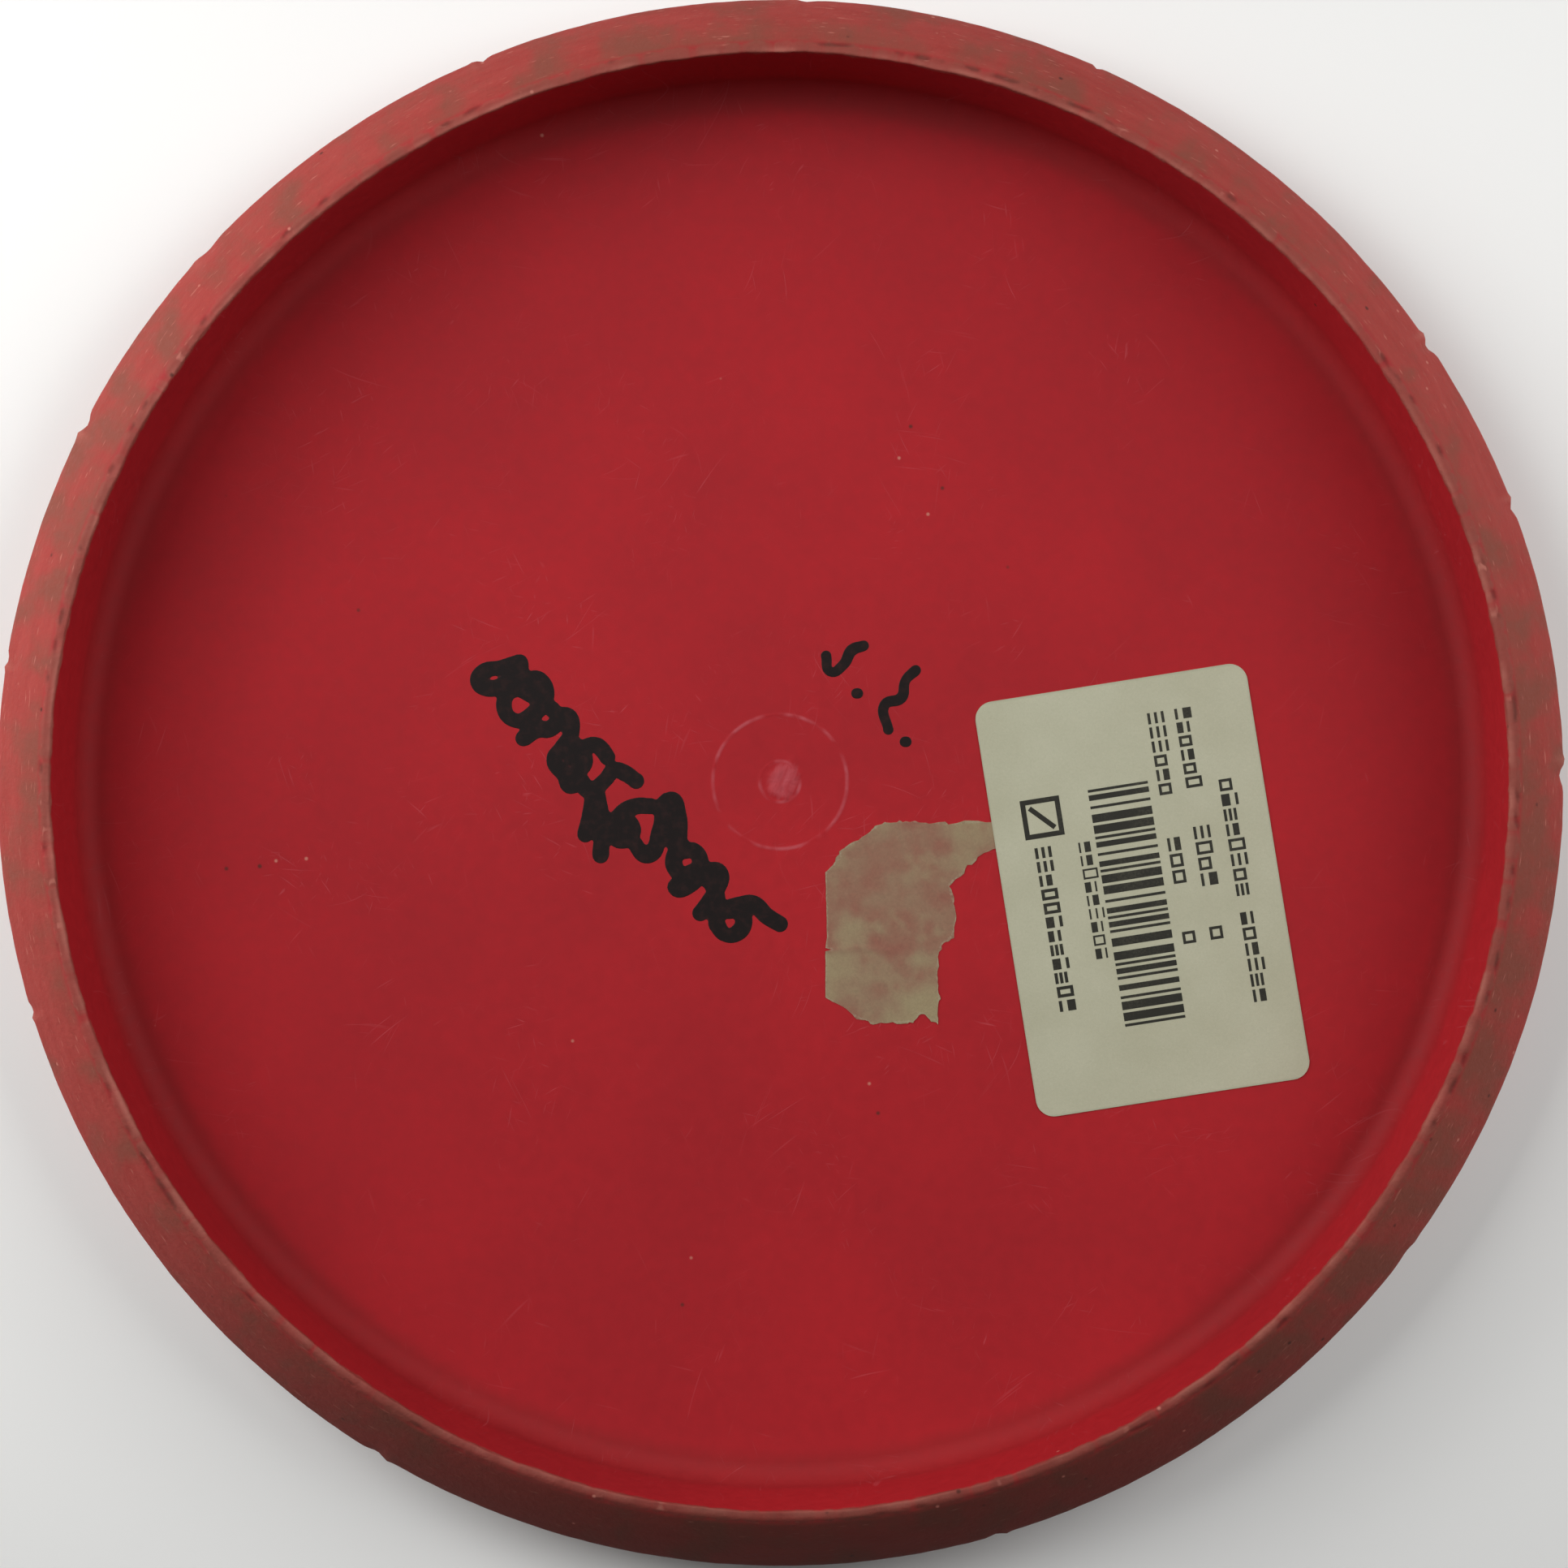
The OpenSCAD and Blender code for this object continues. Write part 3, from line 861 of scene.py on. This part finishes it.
    # Short pale scratches round the rim, and the torn plastic of its burrs
    rim_scratches = add(tree, "VectorMath", {0: ring, 1: (0.45, 0.45, 4.0)}, operation="MULTIPLY")
    rim_scratches = add(tree, "TexNoise", {"Vector": rim_scratches, "Scale": 1.0, "Detail": 1.0})
    rim_scratches = add(tree, "MapRange", {
        "Value": rim_scratches, "From Min": 0.68, "From Max": 0.80, "To Max": 0.55,
    })
    rim_scratches = add(tree, "Math", {0: rim_scratches, 1: worn_part}, operation="MULTIPLY")
    burr = add(tree, "Attribute", out="Fac", attribute_name="burr")
    burr = add(tree, "MapRange", {"Value": burr, "From Max": 0.25, "To Max": 0.35})
    pale = add(tree, "Math", {0: rim_scratches, 1: burr}, operation="MAXIMUM")
    frayed = add(tree, "MapRange", {
        "Value": streaks, "From Min": 0.42, "From Max": 0.62, "To Min": 0.05, "To Max": 0.4,
    })
    at_edge = add(tree, "MapRange", {
        "Value": radius, "From Min": MOUTH_R + 1.0, "From Max": MOUTH_R + 0.2,
    }, interpolation_type="SMOOTHSTEP")
    frayed = add(tree, "Math", {0: frayed, 1: at_edge}, operation="MULTIPLY")
    frayed = add(tree, "Math", {0: frayed, 1: on_lip}, operation="MULTIPLY")
    pale = add(tree, "Math", {0: pale, 1: frayed}, operation="MAXIMUM")
    colour = add(tree, "Mix", {0: pale, 6: colour, 7: WORN_EDGE}, out=2, data_type="RGBA")

    # Witness rings and the torn gate, stretched pale where they left the mould
    inner_face = add(tree, "Math", {0: height, 1: PLATE_T / 2}, operation="GREATER_THAN")
    fade = add(tree, "TexNoise", {"Vector": mm, "Scale": 1 / 3, "Detail": 2.0})
    fade = add(tree, "MapRange", {"Value": fade, "From Min": 0.4, "From Max": 0.62})
    gate_tint = None
    for ring_r in (9.3, 2.8):
        off_ring = add(tree, "Math", {0: radius, 1: ring_r}, operation="SUBTRACT")
        off_ring = add(tree, "Math", {0: off_ring}, operation="ABSOLUTE")
        tint = add(tree, "MapRange", {
            "Value": off_ring, "From Min": 0.4, "From Max": 0.05, "To Max": 0.42,
        }, interpolation_type="SMOOTHSTEP")
        tint = add(tree, "Math", {0: tint, 1: fade}, operation="MULTIPLY")
        gate_tint = add(tree, "Math", {0: gate_tint, 1: tint}, operation="MAXIMUM") if gate_tint else tint
    gate_at = add(tree, "Mapping", {
        "Vector": flat, "Location": (*GATE_AT, 0), "Rotation": (0, 0, GATE_TILT), "Scale": (*GATE_HALF, 1),
    }, vector_type="TEXTURE")
    gate_reach = add(tree, "VectorMath", {0: gate_at}, out="Value", operation="LENGTH")
    gate_strokes = add(tree, "VectorMath", {0: gate_at, 1: (0.8, 3.2, 1.0)}, operation="MULTIPLY")
    gate_strokes = add(tree, "TexNoise", {"Vector": gate_strokes, "Scale": 1.0, "Detail": 2.0})
    gate_edge = add(tree, "Math", {0: gate_reach, 1: gate_strokes}, operation="ADD")
    gate_patch = add(tree, "MapRange", {
        "Value": gate_edge, "From Min": 1.55, "From Max": 1.15, "To Max": 0.6,
    }, interpolation_type="SMOOTHSTEP")
    gate_patch = add(tree, "Math", {0: gate_patch, 1: gate_strokes}, operation="MULTIPLY")
    gate_tint = add(tree, "Math", {0: gate_tint, 1: gate_patch}, operation="MAXIMUM")
    gate_tint = add(tree, "Math", {0: gate_tint, 1: inner_face}, operation="MULTIPLY")
    colour = add(tree, "Mix", {0: gate_tint, 6: colour, 7: GATE_PALE}, out=2, data_type="RGBA")

    # Painted shade darkening the rim towards -Y, and real dirt packed in the pits of the lip
    across = add(tree, "SeparateXYZ", {0: mm}, out="Y")
    painted_shade_low_side = add(tree, "MapRange", {
        "Value": across, "From Min": -45.0, "From Max": -105.0, "To Max": 0.65,
    }, interpolation_type="SMOOTHSTEP")
    painted_shade_where = add(tree, "Math", {0: on_rim, 1: worn_part}, operation="ADD")
    painted_shade_where = add(tree, "Math", {0: painted_shade_where, 1: 0.5}, operation="MULTIPLY")
    painted_shade_low_side = add(tree, "Math", {0: painted_shade_low_side, 1: painted_shade_where}, operation="MULTIPLY")
    pit = add(tree, "Attribute", out="Fac", attribute_name="pit")
    pit = add(tree, "MapRange", {"Value": pit, "From Min": 0.1, "From Max": 0.9, "To Max": 0.5})
    dirt_and_painted_shade = add(tree, "Math", {0: painted_shade_low_side, 1: pit}, operation="MAXIMUM")
    # Painted shade in the corner at the foot of the inner wall: on the plate next to it, the fillet and the
    # lower wall
    corner_painted_shade = add(tree, "MapRange", {
        "Value": radius, "From Min": WALL_R - 5.0, "From Max": WALL_R - 2.2, "To Max": 0.22,
    }, interpolation_type="SMOOTHSTEP")
    above_corner = add(tree, "MapRange", {
        "Value": height, "From Min": 10.0, "From Max": 6.0,
    }, interpolation_type="SMOOTHSTEP")
    corner_painted_shade = add(tree, "Math", {0: corner_painted_shade, 1: above_corner}, operation="MULTIPLY")
    corner_painted_shade = add(tree, "Math", {0: corner_painted_shade, 1: inner_face}, operation="MULTIPLY")
    inside = add(tree, "Math", {0: radius, 1: MOUTH_R}, operation="LESS_THAN")
    corner_painted_shade = add(tree, "Math", {0: corner_painted_shade, 1: inside}, operation="MULTIPLY")
    dirt_and_painted_shade = add(tree, "Math", {0: dirt_and_painted_shade, 1: corner_painted_shade}, operation="MAXIMUM")
    # The dark brown goes on as real dirt in the pits and as painted shade on the rim's -Y side and in the
    # inner corner
    colour = add(tree, "Mix", {0: dirt_and_painted_shade, 6: colour, 7: DARK_DIRT_AND_PAINTED_SHADE}, out=2, data_type="RGBA")

    # Specks: dark grit and pale chips, more of them on the rim
    for cell, size, share, code in ((4.5, 0.09, 0.10, DARK_DIRT_AND_PAINTED_SHADE), (4.1, 0.08, 0.08, WORN_EDGE)):
        cells = add(tree, "TexVoronoi", {"Vector": mm, "Scale": 1 / cell})
        chance = add(tree, "SeparateColor", {0: cells.node.outputs["Color"]})
        limit = add(tree, "MapRange", {
            "Value": worn_part, "To Min": share * 0.35, "To Max": share * 4,
        })
        chosen = add(tree, "Math", {0: chance, 1: limit}, operation="LESS_THAN")
        dot = add(tree, "MapRange", {
            "Value": cells, "From Min": size, "From Max": size * 0.4, "To Max": 0.8,
        })
        dot = add(tree, "Math", {0: dot, 1: chosen}, operation="MULTIPLY")
        colour = add(tree, "Mix", {0: dot, 6: colour, 7: code}, out=2, data_type="RGBA")

    # Roughness: satin inside, dull where scuffed or dirty and where shade is painted
    rough = add(tree, "MapRange", {
        "Value": mottle, "From Min": 0.3, "From Max": 0.7, "To Min": 0.60, "To Max": 0.70,
    })
    rough_rim = add(tree, "MapRange", {
        "Value": grain, "From Min": 0.3, "From Max": 0.7, "To Min": 0.64, "To Max": 0.84,
    })
    rough = add(tree, "Mix", {0: worn_part, 2: rough, 3: rough_rim}, out=0, data_type="FLOAT")
    rough = add(tree, "Mix", {0: dirt_and_painted_shade, 2: rough, 3: 0.9}, out=0, data_type="FLOAT")

    # Relief: mould grain, scratches and the torn grain of the scuffed rim
    fine = add(tree, "TexNoise", {"Vector": mm, "Scale": 1 / 0.35, "Detail": 2.0})
    relief = add(tree, "Bump", {"Height": fine, "Distance": 0.012 * MM, "Strength": 0.6})
    relief = add(tree, "Bump", {
        "Height": scratches, "Distance": 0.02 * MM, "Strength": 0.5, "Normal": relief,
    }, invert=True)
    rim_relief = add(tree, "Math", {0: grain, 1: worn_part}, operation="MULTIPLY")
    relief = add(tree, "Bump", {
        "Height": rim_relief, "Distance": 0.16 * MM, "Strength": 0.8, "Normal": relief,
    })
    shader = add(tree, "BsdfPrincipled", {
        "Base Color": colour, "Roughness": rough, "Normal": relief, "IOR": 1.49, "Specular IOR Level": 0.2,
    })
    add(tree, "OutputMaterial", {"Surface": shader})
    print(material.name, "has", len(tree.nodes), "nodes")
    return material


disc.data.materials.append(moulded_polymer())

# %% [markdown]
# ### Coated label paper
#
# The label is white thermal paper that has yellowed to a greenish grey. Its coating is smooth with a
# weak sheen, fibres make it slightly uneven, and its cut edge has picked up some dirt.

# %% Label paper
LABEL_PAPER = linear("#B1B098")
PAPER_SHADE = linear("#A09E84")


def label_paper():
    """Coated thermal paper: nearly even, smooth, with faint fibres and a dirty edge."""
    material = blank_material("coated_label_paper")
    tree = material.node_tree
    place = add(tree, "TexCoord", out="Object")
    mm = add(tree, "VectorMath", {0: place, "Scale": 1 / MM}, operation="SCALE")
    on_label = add(tree, "Mapping", {
        "Vector": mm, "Location": (*LABEL_AT, 0), "Rotation": (0, 0, LABEL_TURN),
    }, vector_type="TEXTURE")
    size = (LABEL_L / 2, LABEL_W / 2, 1000)
    share = add(tree, "VectorMath", {0: on_label, 1: size}, operation="DIVIDE")
    share = add(tree, "VectorMath", {0: share}, operation="ABSOLUTE")
    parts = add(tree, "SeparateXYZ", {0: share})
    edge = add(tree, "Math", {0: parts, 1: parts.node.outputs["Y"]}, operation="MAXIMUM")
    edge = add(tree, "MapRange", {
        "Value": edge, "From Min": 0.985, "From Max": 1.0, "To Max": 0.2,
    }, interpolation_type="SMOOTHSTEP")
    clouds = add(tree, "TexNoise", {"Vector": mm, "Scale": 1 / 9, "Detail": 4.0})
    clouds = add(tree, "MapRange", {
        "Value": clouds, "From Min": 0.35, "From Max": 0.7, "To Max": 0.45,
    })
    colour = add(tree, "Mix", {0: clouds, 6: LABEL_PAPER, 7: PAPER_SHADE}, out=2, data_type="RGBA")
    colour = add(tree, "Mix", {0: edge, 6: colour, 7: linear("#6F6A52")}, out=2, data_type="RGBA")
    fibres = add(tree, "TexNoise", {"Vector": mm, "Scale": 1 / 0.3, "Detail": 3.0, "Distortion": 1.2})
    fibre_tone = add(tree, "MapRange", {
        "Value": fibres, "From Min": 0.3, "From Max": 0.7, "To Min": 0.95, "To Max": 1.04,
    })
    colour = add(tree, "VectorMath", {0: colour, "Scale": fibre_tone}, operation="SCALE")
    rough = add(tree, "MapRange", {"Value": fibres, "To Min": 0.48, "To Max": 0.62})
    relief = add(tree, "Bump", {"Height": fibres, "Distance": 0.01 * MM, "Strength": 0.5})
    shader = add(tree, "BsdfPrincipled", {
        "Base Color": colour, "Roughness": rough, "Normal": relief, "IOR": 1.45,
    })
    add(tree, "OutputMaterial", {"Surface": shader})
    return material


label.data.materials.append(label_paper())

# %% [markdown]
# ### Thermal print
#
# Heat turns the paper's coating black. It isn't quite even: where the print head's dots don't meet,
# a little of the paper shows through.

# %% Thermal print
PRINT_BLACK = linear("#1F1E15")
PRINT_FAINT = linear("#3A382B")


def thermal_print():
    """Dark thermal print with faint uneven tone and the paper's own sheen."""
    material = blank_material("thermal_print_on_paper")
    tree = material.node_tree
    place = add(tree, "TexCoord", out="Object")
    mm = add(tree, "VectorMath", {0: place, "Scale": 1 / MM}, operation="SCALE")
    dots = add(tree, "TexNoise", {"Vector": mm, "Scale": 1 / 0.28, "Detail": 2.0})
    fade = add(tree, "TexNoise", {"Vector": mm, "Scale": 1 / 6, "Detail": 2.0})
    faint = add(tree, "Math", {0: dots, 1: fade}, operation="MULTIPLY")
    faint = add(tree, "MapRange", {"Value": faint, "From Min": 0.24, "From Max": 0.42, "To Max": 0.8})
    colour = add(tree, "Mix", {0: faint, 6: PRINT_BLACK, 7: PRINT_FAINT}, out=2, data_type="RGBA")
    rough = add(tree, "MapRange", {"Value": dots, "To Min": 0.45, "To Max": 0.6})
    relief = add(tree, "Bump", {"Height": dots, "Distance": 0.006 * MM, "Strength": 0.4})
    shader = add(tree, "BsdfPrincipled", {
        "Base Color": colour, "Roughness": rough, "Normal": relief, "IOR": 1.45,
    })
    add(tree, "OutputMaterial", {"Surface": shader})
    return material


label_print.data.materials.append(thermal_print())

# %% [markdown]
# ### Torn paper
#
# The layer that stayed on the disc is soft, matt and fibrous. Where it is thick it is a dirty beige, and
# where it is thin the red of the disc comes through. The thickness comes from the mesh's own
# attribute, so colour and relief agree.

# %% Torn paper
TORN_BEIGE = linear("#8A7059")
TORN_PALE = linear("#948867")
TORN_THIN = linear("#885849")
TORN_RIM = linear("#A89F86")


def torn_paper():
    """Fibrous lower layer of a split label, thin enough in places for red to show."""
    material = blank_material("torn_fibrous_paper")
    tree = material.node_tree
    place = add(tree, "TexCoord", out="Object")
    mm = add(tree, "VectorMath", {0: place, "Scale": 1 / MM}, operation="SCALE")
    thickness = add(tree, "Attribute", out="Fac", attribute_name="thickness_left")
    fibres = add(tree, "TexNoise", {
        "Vector": mm, "Scale": 1 / 0.45, "Detail": 5.0, "Roughness": 0.7, "Distortion": 0.8,
    })
    soft = add(tree, "TexNoise", {"Vector": mm, "Scale": 1 / 5, "Detail": 3.0, "Roughness": 0.45})
    cover = add(tree, "Math", {0: soft, 1: 2.0, 2: thickness}, operation="MULTIPLY_ADD")
    cover = add(tree, "MapRange", {
        "Value": cover, "From Min": 0.8, "From Max": 1.9,
    }, interpolation_type="SMOOTHSTEP")
    colour = add(tree, "Mix", {0: cover, 6: TORN_THIN, 7: TORN_BEIGE}, out=2, data_type="RGBA")
    thick = add(tree, "MapRange", {"Value": thickness, "From Min": 0.5, "From Max": 0.95, "To Max": 0.8})
    colour = add(tree, "Mix", {0: thick, 6: colour, 7: TORN_PALE}, out=2, data_type="RGBA")
    torn_edge = add(tree, "Attribute", out="Fac", attribute_name="torn_edge")
    torn_edge = add(tree, "Math", {0: torn_edge, 1: fibres}, operation="MULTIPLY")
    torn_edge = add(tree, "MapRange", {"Value": torn_edge, "From Min": 0.25, "From Max": 0.6, "To Max": 0.6})
    colour = add(tree, "Mix", {0: torn_edge, 6: colour, 7: TORN_RIM}, out=2, data_type="RGBA")
    tone = add(tree, "MapRange", {
        "Value": fibres, "From Min": 0.3, "From Max": 0.7, "To Min": 0.88, "To Max": 1.08,
    })
    colour = add(tree, "VectorMath", {0: colour, "Scale": tone}, operation="SCALE")
    relief = add(tree, "Bump", {"Height": fibres, "Distance": 0.05 * MM, "Strength": 0.7})
    shader = add(tree, "BsdfPrincipled", {
        "Base Color": colour, "Roughness": 0.88, "Normal": relief, "IOR": 1.4,
    })
    add(tree, "OutputMaterial", {"Surface": shader})
    return material


remnant.data.materials.append(torn_paper())

# %% [markdown]
# ### Dried marker ink
#
# Permanent ink is dye in a thin resin. It is nearly black, a little glossy, and where the pen ran
# dry or the film is thin, the red below tints it.

# %% Marker ink
INK_BLACK = linear("#130B0A")
INK_THIN = linear("#2A1614")
INK_BLEED = linear("#451A1A")


def marker_ink():
    """Dried resin ink, nearly black, tinted by the red under its thin places."""
    material = blank_material("dried_marker_ink")
    tree = material.node_tree
    place = add(tree, "TexCoord", out="Object")
    mm = add(tree, "VectorMath", {0: place, "Scale": 1 / MM}, operation="SCALE")
    pools = add(tree, "TexNoise", {"Vector": mm, "Scale": 1 / 1.3, "Detail": 4.0, "Roughness": 0.6})
    thin = add(tree, "MapRange", {"Value": pools, "From Min": 0.48, "From Max": 0.72, "To Max": 0.8})
    colour = add(tree, "Mix", {0: thin, 6: INK_BLACK, 7: INK_THIN}, out=2, data_type="RGBA")
    height = add(tree, "SeparateXYZ", {0: mm}, out="Z")
    bleed = add(tree, "MapRange", {
        "Value": height, "From Min": PLATE_T + FILM_T * 0.95, "From Max": PLATE_T, "To Max": 0.8,
    })
    colour = add(tree, "Mix", {0: bleed, 6: colour, 7: INK_BLEED}, out=2, data_type="RGBA")
    rough = add(tree, "MapRange", {"Value": pools, "To Min": 0.5, "To Max": 0.75})
    relief = add(tree, "Bump", {"Height": pools, "Distance": 0.012 * MM, "Strength": 0.5})
    shader = add(tree, "BsdfPrincipled", {
        "Base Color": colour, "Roughness": rough, "Normal": relief, "IOR": 1.5, "Specular IOR Level": 0.2,
    })
    add(tree, "OutputMaterial", {"Surface": shader})
    return material


ink = marker_ink()
scribble.data.materials.append(ink)
squiggle.data.materials.append(ink)

# %% [markdown]
# ## Floor, light and camera
#
# The disc lies on a plain pale floor. Its rim is bright on the upper left and on the right and dark
# at the bottom, as by a large window at the left and a second one at the right, so four soft
# square lights stand close to it on those sides. Lights that close leave the far floor dark, so
# the floor glows by itself from a little way off. The camera looks straight down from about
# 0.4 m.

# %% Floor: half its width, where its glow starts and is full, in metres, and the glow's strength
FLOOR_HALF = 6.0
GLOW_FROM = 0.25
GLOW_FULL = 0.9
GLOW_STRENGTH = 0.72


def studio_floor():
    """A wide plain sheet under the disc."""
    bm = bmesh.new()
    bmesh.ops.create_grid(bm, x_segments=1, y_segments=1, size=FLOOR_HALF)
    mesh = bpy.data.meshes.new("floor")
    bm.to_mesh(mesh)
    bm.free()
    material = blank_material("matt_pale_floor")
    tree = material.node_tree
    place = add(tree, "TexCoord", out="Object")
    away = add(tree, "VectorMath", {0: place}, out="Value", operation="LENGTH")
    glow = add(tree, "MapRange", {
        "Value": away, "From Min": GLOW_FROM, "From Max": GLOW_FULL, "To Max": GLOW_STRENGTH,
    }, interpolation_type="SMOOTHSTEP")
    shader = add(tree, "BsdfPrincipled", {
        "Base Color": linear("#F2F2F0"), "Roughness": 0.9, "IOR": 1.3,
        "Emission Color": (1, 1, 1, 1), "Emission Strength": glow,
    })
    add(tree, "OutputMaterial", {"Surface": shader})
    mesh.materials.append(material)
    floor = bpy.data.objects.new("floor", mesh)
    bpy.context.scene.collection.objects.link(floor)
    return floor


studio_floor()

# %% Soft lights: name, direction and height above the floor in degrees, size in metres, watts
LIGHT_DISTANCE = 0.5
LIGHT_SPREAD = math.radians(110)
LIGHTS = [
    ("window_left_high", 150, 45, 0.3, 0.534),
    ("window_left_low", 158, 22, 0.3, 0.513),
    ("window_right_high", 22, 45, 0.3, 0.406),
    ("window_right_low", 25, 22, 0.3, 0.214),
]


def soft_light(name, direction, elevation, size, power):
    """A square soft light that faces the disc."""
    lamp = bpy.data.lights.new(name, "AREA")
    lamp.shape = "SQUARE"
    lamp.size = size
    lamp.spread = LIGHT_SPREAD
    lamp.energy = power
    turned = math.radians(direction)
    raised = math.radians(elevation)
    level = math.cos(raised)
    away = Vector((math.cos(turned) * level, math.sin(turned) * level, math.sin(raised)))
    lamp_object = bpy.data.objects.new(name, lamp)
    lamp_object.location = away * LIGHT_DISTANCE
    lamp_object.rotation_euler = (-away).to_track_quat("-Z", "Y").to_euler()
    lamp_object.visible_camera = False
    bpy.context.scene.collection.objects.link(lamp_object)


for light in LIGHTS:
    soft_light(*light)

# %% Surroundings: pale to the eye, weak as a light
world = bpy.data.worlds.new("studio")
bpy.context.scene.world = world
world.use_nodes = True
world.node_tree.nodes.clear()
seen = add(world.node_tree, "LightPath", out="Is Camera Ray")
glow = add(world.node_tree, "MapRange", {"Value": seen, "To Min": 0.10, "To Max": 0.9})
sky = add(world.node_tree, "Background", {"Color": (1, 1, 1, 1), "Strength": glow})
add(world.node_tree, "OutputWorld", {"Surface": sky})
bpy.context.scene.view_settings.view_transform = "Standard"

# %% Camera
CAMERA_AT = Vector((1.9, -3.6, 391.0)) * MM
LOOK_AT = Vector((0.6, -0.4, 10.0)) * MM
lens = bpy.data.cameras.new("camera")
lens.lens = 64.45
lens.sensor_width = 36
camera = bpy.data.objects.new("camera", lens)
ahead = (LOOK_AT - CAMERA_AT).normalized()
right = ahead.cross(Vector((0, 1, 0))).normalized()
upright = right.cross(ahead)
camera.matrix_world = Matrix.Translation(CAMERA_AT) @ Matrix((right, upright, -ahead)).transposed().to_4x4()
bpy.context.scene.collection.objects.link(camera)
bpy.context.scene.camera = camera
